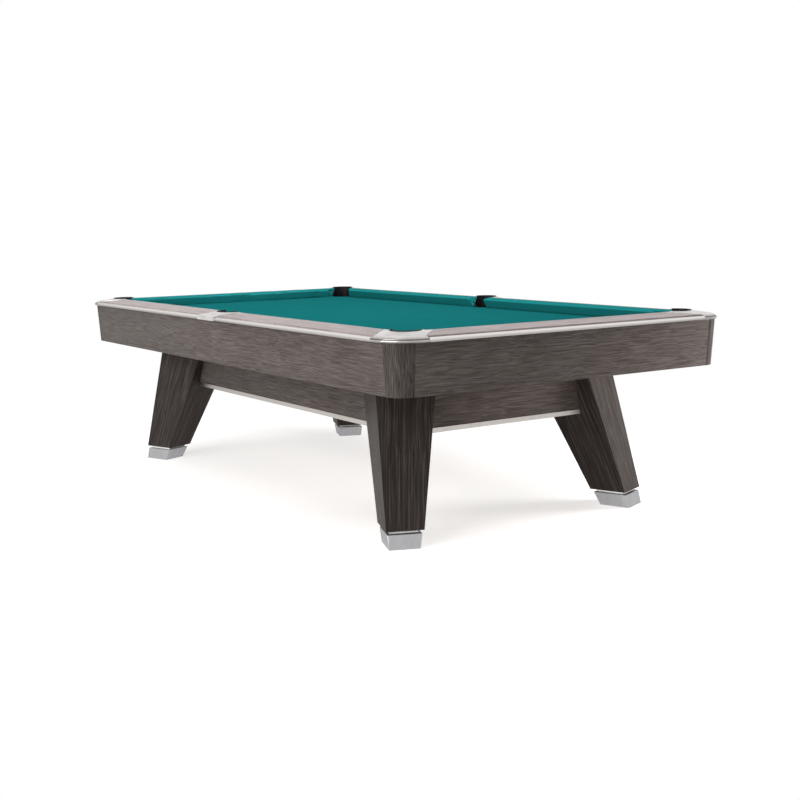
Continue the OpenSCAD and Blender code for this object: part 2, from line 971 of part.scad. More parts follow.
slate(-3 * slate_joint, -slate_joint);  // slate_left
slate(-slate_joint, slate_joint);  // slate_middle
slate(slate_joint, 3 * slate_joint);  // slate_right
slate_backing();
bed_cloth();
side_rail(LEFT, FRONT);  // front_rail_left
side_rail(RIGHT, FRONT);  // front_rail_right
side_rail(LEFT, BACK);  // back_rail_left
side_rail(RIGHT, BACK);  // back_rail_right
end_rail(LEFT);  // end_rail_left
end_rail(RIGHT);  // end_rail_right
side_cushion(LEFT, FRONT);  // front_cushion_left
side_cushion(RIGHT, FRONT);  // front_cushion_right
side_cushion(LEFT, BACK);  // back_cushion_left
side_cushion(RIGHT, BACK);  // back_cushion_right
end_cushion(LEFT);  // end_cushion_left
end_cushion(RIGHT);  // end_cushion_right
side_rail_trims();
end_rail_trims();
rail_sights();
corner_casting(LEFT, FRONT);  // corner_casting_front_left
corner_casting(RIGHT, FRONT);  // corner_casting_front_right
corner_casting(LEFT, BACK);  // corner_casting_back_left
corner_casting(RIGHT, BACK);  // corner_casting_back_right
side_casting(FRONT);  // side_casting_front
side_casting(BACK);  // side_casting_back
corner_cup(LEFT, FRONT);  // pocket_cup_front_left
corner_cup(RIGHT, FRONT);  // pocket_cup_front_right
corner_cup(LEFT, BACK);  // pocket_cup_back_left
corner_cup(RIGHT, BACK);  // pocket_cup_back_right
side_cup(FRONT);  // pocket_cup_front_middle
side_cup(BACK);  // pocket_cup_back_middle
side_apron(FRONT);  // front_apron
side_apron(BACK);  // back_apron
end_apron(LEFT);  // end_apron_left
end_apron(RIGHT);  // end_apron_right
apron_corners();
apron_cleats();
side_beam(FRONT);  // front_beam
side_beam(BACK);  // back_beam
end_beam(LEFT);  // end_beam_left
end_beam(RIGHT);  // end_beam_right
beam_strips();
corner_blocks();
cross_joists();
stringers();
leg(LEFT, FRONT);  // leg_front_left
leg(RIGHT, FRONT);  // leg_front_right
leg(LEFT, BACK);  // leg_back_left
leg(RIGHT, BACK);  // leg_back_right
shoe(LEFT, FRONT);  // shoe_front_left
shoe(RIGHT, FRONT);  // shoe_front_right
shoe(LEFT, BACK);  // shoe_back_left
shoe(RIGHT, BACK);  // shoe_back_right
screw(LEFT, FRONT);  // screw_front_left
screw(RIGHT, FRONT);  // screw_front_right
screw(LEFT, BACK);  // screw_back_left
screw(RIGHT, BACK);  // screw_back_right
rail_bolts();
leg_bolts();
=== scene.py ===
import math

import bmesh
import bpy
import numpy as np
from mathutils import Matrix, Vector


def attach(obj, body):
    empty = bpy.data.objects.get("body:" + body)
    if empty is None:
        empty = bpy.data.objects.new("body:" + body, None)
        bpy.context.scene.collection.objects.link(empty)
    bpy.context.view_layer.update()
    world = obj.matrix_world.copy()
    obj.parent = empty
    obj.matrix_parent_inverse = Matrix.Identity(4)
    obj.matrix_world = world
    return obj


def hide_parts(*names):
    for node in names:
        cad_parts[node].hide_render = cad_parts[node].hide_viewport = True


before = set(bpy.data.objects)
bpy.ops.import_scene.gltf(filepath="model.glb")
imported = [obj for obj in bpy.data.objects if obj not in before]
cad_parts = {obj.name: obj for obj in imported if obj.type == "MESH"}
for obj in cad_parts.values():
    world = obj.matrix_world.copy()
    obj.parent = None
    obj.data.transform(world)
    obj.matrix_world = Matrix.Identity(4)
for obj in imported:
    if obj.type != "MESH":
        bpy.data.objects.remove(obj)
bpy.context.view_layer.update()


# ---------- Slates and backing boards ----------
# Three honed slates lie side by side on backing boards of plain poplar, glued under them so
# that the cloth can be stapled. Both are hidden from above and show from below.

class Value:
    """A socket in a graph. Python's operators on it add one Math node each."""

    def __init__(self, graph, socket):
        self.graph, self.socket = graph, socket

    def math(self, operation, a, b=0.0):
        return self.graph.node("ShaderNodeMath", {"operation": operation}, {0: a, 1: b})

    def __add__(self, other):
        return self.math("ADD", self, other)

    def __radd__(self, other):
        return self.math("ADD", other, self)

    def __sub__(self, other):
        return self.math("SUBTRACT", self, other)

    def __rsub__(self, other):
        return self.math("SUBTRACT", other, self)

    def __mul__(self, other):
        return self.math("MULTIPLY", self, other)

    def __rmul__(self, other):
        return self.math("MULTIPLY", other, self)


class Graph:
    """A node tree. Every node that isn't arithmetic comes from node()."""

    def __init__(self, tree):
        self.tree = tree

    def node(self, kind, settings=None, inputs=None, output=0):
        """Adds a node with its settings first (a ramp's stops among them), then its inputs."""
        made = self.tree.nodes.new(kind)
        for name, value in (settings or {}).items():
            if name == "stops":
                ramp = made.color_ramp.elements
                while len(ramp) < len(value):
                    ramp.new(0.5)
                for stop, (place, colour) in zip(ramp, value):
                    stop.position, stop.color = place, colour
            else:
                setattr(made, name, value)
        for name, value in (inputs or {}).items():
            self.feed(made.inputs[name], value)
        return Value(self, made.outputs[output])

    def feed(self, socket, value):
        """Links a value to a socket, or writes a constant there."""
        if isinstance(value, Value):
            self.tree.links.new(value.socket, socket)
        else:
            socket.default_value = value


class Finish(Graph):
    """One surface finish: constants sit on the shader's own sockets, and node() adds the rest."""

    def __init__(self, name, constants):
        self.material = bpy.data.materials.new(name)
        self.material.use_nodes = True
        super().__init__(self.material.node_tree)
        self.shader = self.tree.nodes["Principled BSDF"]
        self.shade(constants)

    def shade(self, values):
        """Sets or links sockets of the shader."""
        for name, value in values.items():
            self.feed(self.shader.inputs[name], value)

    def blend(self, factor, a, b):
        """The first colour where the factor is 0, and the second where it is 1."""
        return self.node("ShaderNodeMix", {"data_type": "RGBA"}, {0: factor, 6: a, 7: b}, 2)

    def vector(self, operation, a, b, output=0):
        return self.node("ShaderNodeVectorMath", {"operation": operation}, {0: a, 1: b}, output)

    def scaled(self, vector, by):
        return self.node("ShaderNodeVectorMath", {"operation": "SCALE"}, {0: vector, 3: by})

    def place(self):
        """Where a point lies in the table's own frame, in metres."""
        return self.node("ShaderNodeTexCoord", output=3)

    def level(self):
        """The height of a point above the floor, at rest."""
        return self.vector("DOT_PRODUCT", self.place(), Z, 1)

    def speckle(self, where, scale, detail=3.0, roughness=0.55):
        return self.node("ShaderNodeTexNoise", {"normalize": True}, {
            "Vector": where, "Scale": scale, "Detail": detail, "Roughness": roughness})

    def along(self, where, axis, stretch):
        """Squeezes space along a unit axis by stretch, so that noise in it runs out as streaks:
        the point less the axis times its own dot product, times one minus the squeeze."""
        reach = self.vector("DOT_PRODUCT", where, axis, 1)
        return self.vector("SUBTRACT", where, self.scaled(axis, reach * (1 - stretch)))

    def ramp(self, stops, value):
        """A colour read off a ramp of (place, colour) stops."""
        return self.node("ShaderNodeValToRGB", {"stops": stops}, {"Fac": value})

    def bump(self, height, strength, depth):
        """Tilts the surface's normal by a height that depth turns into metres."""
        self.shade({"Normal": self.node("ShaderNodeBump", {}, {
            "Strength": strength, "Distance": depth, "Height": height})})


def paint(code):
    """A colour written as six hex digits, in the linear values that a shader takes."""
    part = np.array([int(code[i:i + 2], 16) for i in (1, 3, 5)]) / 255
    return (*np.where(part <= 0.04045, part / 12.92, ((part + 0.055) / 1.055) ** 2.4), 1.0)


def dress(finish, *names):
    """Gives CAD nodes that keep their own shape this finish."""
    for name in names:
        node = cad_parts[name]
        node.data.materials.clear()
        node.data.materials.append(finish.material)


X, Y, Z = (1.0, 0.0, 0.0), (0.0, 1.0, 0.0), (0.0, 0.0, 1.0)
TABLE = "table"

slate_stone = Finish("honed_slate", {"Roughness": 0.62})
beds = slate_stone.along(slate_stone.place(), Z, 8.0)
cleft = slate_stone.speckle(beds, 9.0, 6.0)
slate_stone.shade({"Base Color": slate_stone.blend(cleft, paint("#3f4447"), paint("#5d6365"))})
slate_stone.bump(slate_stone.speckle(beds, 160.0), 0.25, 0.0006)
dress(slate_stone, "slate_left", "slate_middle", "slate_right")


def timber(name, axis, early, late):
    """Plain sawn timber: rings as a wave through space stretched along the grain, and pores."""
    wood = Finish(name, {"Roughness": 0.7})
    grain = wood.along(wood.place(), axis, 0.06)
    rings = wood.node("ShaderNodeTexWave", {"bands_direction": "DIAGONAL", "wave_profile": "SAW"}, {
        "Vector": grain, "Scale": 26.0, "Distortion": 7.0, "Detail": 2.0, "Detail Scale": 0.8})
    pores = wood.speckle(grain, 420.0, 2.0)
    tone = wood.blend(rings, paint(early), paint(late))
    wood.shade({"Base Color": wood.blend(pores * 0.35, tone, paint("#8a6238"))})
    wood.bump(rings * 0.4 + pores * 0.6, 0.35, 0.0005)
    return wood


board_x = timber("poplar_lengthwise", X, "#cfae7c", "#b48d58")
board_y = timber("poplar_crosswise", Y, "#cfae7c", "#b48d58")
block_z = timber("poplar_upright", Z, "#cbaa78", "#b08955")
dress(board_x, "slate_backing", "stringers", "apron_cleats")
dress(board_y, "cross_joists")
dress(block_z, "corner_blocks")


# ---------- Bed cloth ----------
# One piece of worsted wool cloth, cut to the bed, stretched over all three slates and turned
# down over their edges and into the pocket bays. It is stapled to the backing boards.

def cloth(name, light, dark):
    """Worsted cloth: two crossed rows of threads in the piece's own metres, and a fine nap."""
    felt = Finish(name, {"Roughness": 0.95, "Specular IOR Level": 0.0})
    own = felt.node("ShaderNodeTexCoord", output=2)
    warp, weft = (felt.node("ShaderNodeTexWave", {"bands_direction": way}, {
        "Vector": own, "Scale": 460.0, "Distortion": 1.2, "Detail": 1.0}) for way in "XY")
    nap = felt.speckle(own, 900.0, 2.0)
    mottle = felt.speckle(own, 7.0, 3.0)
    felt.shade({"Base Color": felt.blend(mottle * 0.5 + nap * 0.5, paint(dark), paint(light))})
    felt.bump(warp * weft + nap * 0.5, 0.12, 0.0003)
    return felt


def mesh_piece(name, points, faces, uv, finish, sharp=35.0):
    """A mesh object at the origin: doubles merged, normals outward, edges sharp past an angle."""
    mesh = bpy.data.meshes.new(name)
    mesh.from_pydata(points.reshape(-1, 3).tolist(), [], faces)
    corners = np.empty(len(mesh.loops), dtype=np.int32)
    mesh.loops.foreach_get("vertex_index", corners)
    layer = mesh.uv_layers.new(name="UVMap")
    layer.data.foreach_set("uv", uv.reshape(-1, 2)[corners].ravel())
    work = bmesh.new()
    work.from_mesh(mesh)
    bmesh.ops.remove_doubles(work, verts=work.verts, dist=1e-6)
    bmesh.ops.dissolve_degenerate(work, edges=work.edges, dist=1e-6)
    bmesh.ops.recalc_face_normals(work, faces=work.faces)
    work.to_mesh(mesh)
    work.free()
    mesh.shade_smooth()
    mesh.set_sharp_from_angle(angle=math.radians(sharp))
    mesh.materials.append(finish.material)
    piece = bpy.data.objects.new(name, mesh)
    bpy.context.collection.objects.link(piece)
    return piece


def arc_lengths(points, axis):
    """Distance walked along one way of a grid, from its first point."""
    steps = np.linalg.norm(np.diff(points, axis=axis, prepend=points.take([0], axis)), axis=-1)
    return np.cumsum(steps, axis=axis)


def skin(name, points, finish, round_i=False, round_j=True, sharp=35.0):
    """The surface of a grid points[i, j, xyz]: quads between neighbours, i running along the
    piece and j round its section. Flat faces close the ends where i doesn't run round."""
    rows, columns = points.shape[:2]
    i = np.arange(rows if round_i else rows - 1)[:, None]
    j = np.arange(columns if round_j else columns - 1)[None, :]
    i2, j2 = (i + 1) % rows, (j + 1) % columns
    quads = np.stack(np.broadcast_arrays(i * columns + j, i * columns + j2,
                                         i2 * columns + j2, i2 * columns + j), -1)
    faces = quads.reshape(-1, 4).tolist()
    if round_j and not round_i:
        faces += [list(range(columns))[::-1], list(range((rows - 1) * columns, rows * columns))]
    uv = np.stack([arc_lengths(points, 0), arc_lengths(points, 1)], -1)
    return mesh_piece(name, points, faces, uv, finish, sharp)


def seat(piece, body, slot, *nodes):
    """Sets a finished piece on its body and hides the CAD nodes that it stands for; slot is not
    used.
    """
    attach(piece, body)
    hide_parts(*nodes)
    return piece


BED = 0.772
CLOTH_X, CLOTH_Y = 1.370, 0.735
CORNER_POCKET = (1.297, 0.662)
SIDE_POCKET = (0.0, 0.693)
BAY = 0.058


def bed_cloth():
    """Half width h(x) is the cut's edge less a round bay at each pocket; the sheet is the grid
    (x, v h(x)) for v from -1 to 1, and its last rows turn down along the edge's own normal. A
    hair's width parts the rows on both sides of a jump in h."""
    hair = 1e-5
    x = np.concatenate([np.linspace(-1, 1, 61) * BAY,
                        np.linspace(BAY + hair, CORNER_POCKET[0] - BAY - hair, 40),
                        CORNER_POCKET[0] - BAY * np.cos(np.linspace(0, np.pi / 2, 31)),
                        np.linspace(CORNER_POCKET[0] + hair, CLOTH_X, 6)])
    x = np.unique(np.concatenate([x, -x]))
    a = np.abs(x)
    from_side = np.sqrt(np.maximum(BAY ** 2 - a ** 2, 0))
    from_corner = np.sqrt(np.maximum(BAY ** 2 - (a - CORNER_POCKET[0]) ** 2, 0))
    in_side, in_corner = a <= BAY, a >= CORNER_POCKET[0] - BAY
    h = np.where(in_side, SIDE_POCKET[1] - from_side,
                 np.where(in_corner, CORNER_POCKET[1] - from_corner, CLOTH_Y))
    toward = np.where(in_corner, np.sign(x) * (CORNER_POCKET[0] - a), np.where(in_side, -x, 0.0))
    rise = np.where(in_side, from_side, np.where(in_corner, from_corner, BAY))
    normal = np.stack([toward, rise], -1)
    normal /= np.maximum(np.linalg.norm(normal, axis=-1, keepdims=True), 1e-9)
    v = np.linspace(-1, 1, 41)
    out, down = np.array([0.0, 0.0004, 0.0007]), np.array([0.0, 0.0006, 0.016])
    flat = np.stack(np.broadcast_arrays(x[:, None], v * h[:, None], BED), -1)
    turns = []
    for side in (-1, 1):
        edge = np.stack([x, side * h, np.full_like(x, BED)], -1)[:, None]
        way = np.stack([normal[:, 0], side * normal[:, 1], np.zeros_like(x)], -1)[:, None]
        turn = edge + way * out[None, :, None] - down[None, :, None] * np.array(Z)
        turns.append(turn[:, :0:-1] if side < 0 else turn[:, 1:])
    return np.concatenate([turns[0], flat, turns[1]], 1)


wool = cloth("teal_cloth", "#1c7e80", "#166c6d")
piece = skin("bed_cloth_sheet", bed_cloth(), wool, round_j=False, sharp=60)
seat(piece, TABLE, "bed_cloth", "bed_cloth")


# ---------- Rails ----------
# Six timber rails faced with pale brushed laminate, bolted up through the slate. Their tops
# fall gently from the cushions to the edge trim, and eighteen flush sights mark them.

def laminate(name, grain, tones, across=120.0, sheen=0.25, wave=0.02, squeeze=0.03, hairs=0.3,
             splayed=False):
    """Brushed laminate: space is squeezed along the grain and bent by a slow noise, and noise in
    it gives wavy figure and fine hairs; a wider drift shades whole bands. A splayed grain leans
    away from the table's middle on both sides, and is laid flat into each face."""
    face = Finish(name, {"Specular IOR Level": sheen})
    where = face.place()
    if splayed:
        lean = face.vector("MULTIPLY", face.vector("SIGN", where, (0, 0, 0)), grain)
        facing = face.node("ShaderNodeNewGeometry", output=3)
        proud = face.scaled(facing, face.vector("DOT_PRODUCT", lean, facing, 1))
        grain = face.vector("NORMALIZE", face.vector("SUBTRACT", lean, proud), (0, 0, 0))
    bend = face.node("ShaderNodeTexNoise", {}, {"Vector": where, "Scale": 7.0, "Detail": 1.0}, 1)
    bent = face.vector("ADD", where, face.vector("MULTIPLY", bend, (wave, wave, wave)))
    figure = face.speckle(face.along(bent, grain, squeeze), across, 3.0, 0.6)
    hair = face.speckle(face.along(bent, grain, squeeze / 3), across * 2.0, 2.0)
    drift = face.speckle(face.along(where, grain, 0.25), 5.0, 1.0)
    tone = face.ramp(list(zip((0.36, 0.50, 0.63), map(paint, tones))),
                     figure * (0.9 - hairs) + hair * hairs + drift * 0.1)
    face.shade({"Base Color": tone, "Roughness": hair * 0.2 + 0.36})
    face.bump(figure * 0.5 + hair * 0.5, 0.3, 0.0005)
    return face


EASED_FROM = 34.0


def eased(node, body, slot, finish, width):
    """A CAD node's own shape with its doubles merged and its flat faces joined. Every edge that
    turns by more than EASED_FROM degrees is eased by a bevel of the given width."""
    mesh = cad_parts[node].data.copy()
    # Normals stored for the loose triangles would be wrong once these are merged.
    if "custom_normal" in mesh.attributes:
        mesh.attributes.remove(mesh.attributes["custom_normal"])
    work = bmesh.new()
    work.from_mesh(mesh)
    bmesh.ops.remove_doubles(work, verts=work.verts, dist=1e-5)
    bmesh.ops.dissolve_limit(work, angle_limit=math.radians(0.4), verts=work.verts,
                             edges=work.edges)
    bmesh.ops.recalc_face_normals(work, faces=work.faces)
    work.to_mesh(mesh)
    work.free()
    mesh.shade_smooth()
    mesh.set_sharp_from_angle(angle=math.radians(EASED_FROM - 2))
    mesh.materials.clear()
    mesh.materials.append(finish.material)
    piece = bpy.data.objects.new(f"{node}_eased", mesh)
    bpy.context.collection.objects.link(piece)
    bevel = piece.modifiers.new("eased edges", "BEVEL")
    bevel.width, bevel.segments, bevel.limit_method = width, 2, "ANGLE"
    bevel.angle_limit = math.radians(EASED_FROM)
    return seat(piece, body, slot, node)


SIDES = {"left": -1, "right": 1}
FACES = {"front": -1, "back": 1}
CORNERS = [(y, x) for y in FACES for x in SIDES]
PALE = ("#8a7d7f", "#a99c9b", "#beb2b1")
pale_x = laminate("pale_laminate_lengthwise", X, PALE)
pale_y = laminate("pale_laminate_crosswise", Y, PALE)
for y_name, x_name in CORNERS:
    eased(f"{y_name}_rail_{x_name}", TABLE, "rail_laminate", pale_x, 0.0006)
for x_name in SIDES:
    eased(f"end_rail_{x_name}", TABLE, "rail_laminate", pale_y, 0.0006)

pearl = Finish("pearl_sight", {"Roughness": 0.22, "Coat Weight": 0.4})
cloud = pearl.speckle(pearl.place(), 420.0, 4.0)
pearl.shade({"Base Color": pearl.blend(cloud, paint("#d9d6cc"), paint("#f4f1ea"))})
dress(pearl, "rail_sights")


# ---------- Cushions ----------
# Six rubber cushions covered in the bed's cloth, glued to the rails' inner faces. The nose
# overhangs the bed, and the ends slant back where a ball runs into a pocket.

HALF_L, HALF_W = 1.270, 0.635
RAIL_TOP = 0.820
NOSE_R, NOSE_Z = 0.004, 0.8085
CUSHION_TURN, CUSHION_DEPTH = 0.006, 0.045
CUSHION_MIDDLE = (0.030, 0.800)


def bow(centre, radius, first, last, steps=8):
    """Points of an arc round a centre, between two angles in degrees."""
    angle = np.radians(np.linspace(first, last, steps + 1))[:, None]
    return np.array(centre) + radius * np.concatenate([np.cos(angle), np.sin(angle)], 1)


def cushion(ends):
    """The section (u, z) is carried along the rail; each of its points runs from start + u times
    one slope to finish + u times the other. Near both ends the section shrinks towards its middle
    along a quarter circle, so that the cloth turns the corner softly."""
    top = np.array([[0.0490, RAIL_TOP - 0.0022], [0.0478, RAIL_TOP - 0.0006],
                    [0.0455, RAIL_TOP - 0.0005]])
    swell = np.array([0, 0.0009]) * np.sin(np.linspace(0, np.pi / 2, 6))[:, None]
    crown = np.linspace([0.038, 0.8182], [0.008, 0.8138], 6) + swell
    nose = bow((NOSE_R, NOSE_Z), NOSE_R, 100, 225)
    foot = np.array([[0.0250, 0.7738], [0.0255, 0.7730], [0.0264, 0.7726], [0.034, 0.7726],
                     [0.034, 0.784], [0.0485, 0.8150]])
    section = np.concatenate([top, crown, nose, foot])
    (start, start_slope), (stop, stop_slope) = ends
    low = start + start_slope * section[:, 0]
    high = stop + stop_slope * section[:, 0]
    turn, length = CUSHION_TURN, stop - start
    near = np.array([0.0, 0.0006, 0.0018, 0.0036, turn])
    along = np.concatenate([near, np.linspace(2 * turn, length - 2 * turn, 24),
                            length - near[::-1]]) / length
    depth = np.minimum(np.minimum(along, 1 - along) * length, turn)
    inset = turn - np.sqrt(np.maximum(turn ** 2 - (turn - depth) ** 2, 0))
    shrink = 1 - inset / CUSHION_DEPTH
    middle = np.array(CUSHION_MIDDLE)
    uz = middle + (section - middle)[None] * shrink[:, None, None]
    run = low[None] + (high - low)[None] * along[:, None]
    return run, uz[..., 0], uz[..., 1]


def on_side(run, u, z, x_side, y_side):
    """Points of a long rail: run along the table, u outward from the cushion's nose."""
    return np.stack([x_side * run, y_side * (HALF_W + u), z], -1)


def on_end(run, u, z, x_side):
    """Points of an end rail: run across the table, u outward from the cushion's nose."""
    return np.stack([x_side * (HALF_L + u), run, z], -1)


CORNER_TIP, CORNER_SLOPE = 0.114 / math.sqrt(2), 1 / math.tan(math.radians(37))
SIDE_TIP, SIDE_SLOPE = 0.060, -1 / math.tan(math.radians(76))
# The cushions wear the bed's cloth; here it is painted lighter than the bed's, standing in for the
# light on the cushions.
cushion_wool = cloth("teal_cushion_cloth", "#289495", "#228586")
LONG_ENDS = ((SIDE_TIP, SIDE_SLOPE), (HALF_L - CORNER_TIP, CORNER_SLOPE))
SHORT_ENDS = ((CORNER_TIP - HALF_W, -CORNER_SLOPE), (HALF_W - CORNER_TIP, CORNER_SLOPE))
for y_name, x_name in CORNERS:
    name = f"{y_name}_cushion_{x_name}"
    piece = skin(f"{name}_covered", on_side(*cushion(LONG_ENDS), SIDES[x_name], FACES[y_name]),
                 cushion_wool, sharp=50)
    seat(piece, TABLE, "cushion_cloth", name)
for x_name, x_side in SIDES.items():
    name = f"end_cushion_{x_name}"
    piece = skin(f"{name}_covered", on_end(*cushion(SHORT_ENDS), x_side), cushion_wool, sharp=50)
    seat(piece, TABLE, "cushion_cloth", name)


# ---------- Edge trims ----------
# Satin aluminium bars with a large round above and a small one below, screwed to the rails'
# outer edges from behind, a little lower than the laminate's edge.

def metal(name, light, dark, rough, spread, streak_axis=None, scale=60.0, bump=0.04, ripple=0.0,
          rim=0.8):
    """Bare metal: noise, drawn out where the metal is brushed, moves its tone and roughness, and
    a slow ripple dents hand-polished faces. The rim tones its grazing reflection."""
    bare = Finish(name, {"Metallic": 1.0, "Specular Tint": (rim, rim, rim, 1.0)})
    where = bare.place() if streak_axis is None else bare.along(bare.place(), streak_axis, 0.01)
    cloud = bare.speckle(where, scale, 2.0)
    fine = bare.speckle(where, scale * 14, 2.0)
    bare.tone = bare.blend(cloud, paint(dark), paint(light))
    bare.shade({"Base Color": bare.tone, "Roughness": cloud * spread + (rough - spread / 2)})
    height = fine * bump
    if ripple:
        height = height + bare.speckle(bare.place(), 34.0, 1.0) * ripple
    bare.bump(height, 1.0, 0.0002)
    return bare


TRIM_U, RAIL_W = 0.152, 0.177
EDGE_TOP, TRIM_TOP, APRON_TOP = 0.811, 0.8065, 0.790
SEAM_X, SEAM_Y, SIDE_LIP = 1.298, 0.663, 0.082


def greys(*stops):
    """Stops of a ramp from (place, brightness) pairs."""
    return [(place, (grey, grey, grey, 1)) for place, grey in stops]


def painted_shade_by_height(bare, top, stops, share, code):
    """Paints shade into a metal's tone: a ramp of its height between the apron's top and another
    height darkens it towards a shade colour.
    """
    up = (bare.level() - APRON_TOP) * (1 / (top - APRON_TOP))
    painted_shade = bare.ramp(greys(*stops), up)
    bare.shade({"Base Color": bare.blend(painted_shade * share, bare.tone, paint(code))})


satin_x = metal("satin_aluminium_lengthwise", "#eeeae7", "#dcd8d5", 0.24, 0.08, X)
satin_y = metal("satin_aluminium_crosswise", "#eeeae7", "#dcd8d5", 0.24, 0.08, Y)
# Painted shade: the trims' tone darkens towards their lower round and foot, standing in for the
# shade under them.
for satin in (satin_x, satin_y):
    painted_shade_by_height(satin, TRIM_TOP, [(0.0, 1), (0.35, 0.6), (0.75, 0)], 0.8, "#6b6662")
TRIM = np.concatenate([[[TRIM_U + 0.0004, APRON_TOP]],
                       bow((TRIM_U + 0.0018, TRIM_TOP - 0.0014), 0.0014, 180, 90, 3),
                       bow((RAIL_W - 0.010, TRIM_TOP - 0.010), 0.010, 90, 0, 14),
                       bow((RAIL_W - 0.005, APRON_TOP + 0.005), 0.005, 0, -90, 8)])


def bar(section, first, last, ease):
    """A section (u, z) carried straight from one length to another. Over the last stretch at both
    ends it draws in along a quarter circle, which eases the ends' edges."""
    turn = np.linspace(0, np.pi / 2, 4)
    reach = ease * (1 - np.cos(turn))
    run = np.concatenate([first + reach, last - reach[::-1]])
    inset = ease * (1 - np.sin(turn))
    inset = np.concatenate([inset, inset[::-1]])[:, None, None]
    low, high = section.min(0), section.max(0)
    middle, half = (low + high) / 2, (high - low) / 2
    drawn = middle + (section - middle) * (1 - inset / half)
    return np.broadcast_to(run[:, None], drawn.shape[:2]), drawn[..., 0], drawn[..., 1]


for y_name, x_name in CORNERS:
    run = bar(TRIM, SIDE_LIP + 0.0002, SEAM_X - 0.0002, 0.0006)
    piece = skin(f"{y_name}_trim_{x_name}", on_side(*run, SIDES[x_name], FACES[y_name]), satin_x)
    seat(piece, TABLE, "trim_aluminium", "side_rail_trims")
for x_name, x_side in SIDES.items():
    run = bar(TRIM, -SEAM_Y + 0.0002, SEAM_Y - 0.0002, 0.0006)
    piece = skin(f"end_trim_{x_name}", on_end(*run, x_side), satin_y)
    seat(piece, TABLE, "trim_aluminium", "end_rail_trims")


# ---------- Pocket castings ----------
# Six polished aluminium castings let into the rails' tops. A sloped plate rises to a rim round
# each hole. A corner's plate turns down in a dome, a groove and a bead; a side's in a flat face.

POCKET_R, RIM_TOP, PLATE_LOW = 0.057, 0.8225, 0.805
CUSHION_W, RAIL_FALL = 0.050, 0.009
PLATE_GAP, PLATE_BLEND, HOLE_EASE = 0.0003, 0.0006, (0.0012, 0.0003)
CORNER_ARM, CORNER_BEND, CORNER_LIP_R = 0.073, 0.042, 0.110
DOME_MIDDLE, DOME_R = (0.14848, 0.77116), 0.040
# The groove's middle lies inward of the dome's last point, on the same radius.
GROOVE_SHIFT, GROOVE_R, BEAD_R = (0.0175, 0.03031), 0.005, 0.006
SIDE_ARM, CREST_R, HEEL_R = 0.111, 0.003, 0.0015


def plate_top(u, from_hole, foot_r):
    """Height of a casting's top: the rail's fall with u, the distance out from the cushion's
    nose, or the cone up to the hole's rim where that is higher. The two blend softly."""
    plane = RAIL_TOP - RAIL_FALL * np.maximum(u - CUSHION_W, 0) / (TRIM_U - CUSHION_W)
    cone = RIM_TOP - (RIM_TOP - EDGE_TOP) * (from_hole - POCKET_R) / (foot_r - POCKET_R)
    return (plane + cone + np.hypot(plane - cone, PLATE_BLEND)) / 2


def casting(inner, outer, outward, reach, lip, height):
    """Rows across the plate from the hole's edge, which is eased, to its outer edge. A row ends
    in the lip's profile (distance out, height) where reach is 1, and in a short upright edge
    where it is 0."""
    over = (outer - inner)[:, None]
    share = np.array([0.0, 0.008, 0.03, 0.08, 0.16, 0.26, 0.38, 0.5, 0.62, 0.74, 0.86, 0.95, 1.0])
    plan = inner[:, None] + over * share[:, None]
    top = height(plan[..., 0], plan[..., 1])
    top[:, :2] -= HOLE_EASE
    steps = np.linspace(0, 1, len(lip) + 1)[1:]
    edge = top[:, -1:]
    reach = reach[:, None]
    lip_plan = outer[:, None] + outward[:, None] * (reach * lip[:, 0])[..., None]
    lip_z = np.where(reach > 0, lip[:, 1], edge + (PLATE_LOW - edge) * steps)
    under = np.array([0.9, 0.1, 0.0])
    under_plan = inner[:, None] + over * under[:, None]
    under_z = np.full((len(inner), len(under)), PLATE_LOW)
    plan = np.concatenate([plan, lip_plan, under_plan], 1)
    return plan[..., 0], plan[..., 1], np.concatenate([top, lip_z, under_z], 1)


def round_hole(corners, counts):
    """Points of a pocket's circle round its own middle: angles in degrees go evenly from each
    corner to the next, with a number of points on each stretch."""
    parts = [np.linspace(p, q, n) for p, q, n in zip(corners[:-1], corners[1:], counts)]
    angle = np.radians(np.concatenate(parts))[:, None]
    return POCKET_R * np.concatenate([np.cos(angle), np.sin(angle)], 1)


def corner_casting():
    """From one arm's end to the other: the arm's straight edge, the lip round the corner between
    both seams, and the other arm. The hole's arc is walked at the same time. Both plan
    coordinates are measured outward from the corner where the cushions' noses would meet."""
    hole = np.array(CORNER_POCKET) - (HALF_L, HALF_W)
    seam = SEAM_X - HALF_L + PLATE_GAP
    arm = np.linspace([PLATE_GAP - CORNER_ARM, CUSHION_W], [seam, TRIM_U], 11)
    turn = bow((CORNER_BEND, CORNER_BEND), CORNER_LIP_R, 90, 0, 36)
    lip_line = np.concatenate([[[seam, TRIM_U]], turn, [[TRIM_U, seam]]])
    outer = np.concatenate([arm, lip_line, arm[::-1, ::-1]])
    counts = [len(arm), len(lip_line), len(arm)]
    reach = np.repeat([0.0, 1.0, 0.0], counts)
    straight = np.repeat([[0.0, 1.0]], len(arm) + 1, 0)
    outward = np.concatenate([straight, (turn - CORNER_BEND) / CORNER_LIP_R, straight[:, ::-1]])
    start = math.degrees(math.asin((CUSHION_W - hole[1]) / POCKET_R))
    inner = hole + round_hole([180 - start, 94, -4, start - 90], counts)
    dome = np.array(DOME_MIDDLE) - (TRIM_U, 0)
    bead = (RAIL_W - TRIM_U - BEAD_R, APRON_TOP + BEAD_R)
    lip = np.concatenate([bow(dome, DOME_R, 84, 60, 8),
                          bow(dome + GROOVE_SHIFT, GROOVE_R, 54, -25, 8),
                          bow(bead, BEAD_R, 64, -90, 14), [[0.0, APRON_TOP]]])

    def height(a, b):
        u = CORNER_BEND + np.hypot(np.maximum(a - CORNER_BEND, 0), np.maximum(b - CORNER_BEND, 0))
        return plate_top(u, np.hypot(a - hole[0], b - hole[1]), TRIM_U - hole[0])

    return casting(inner, outer, outward, reach, lip, height)


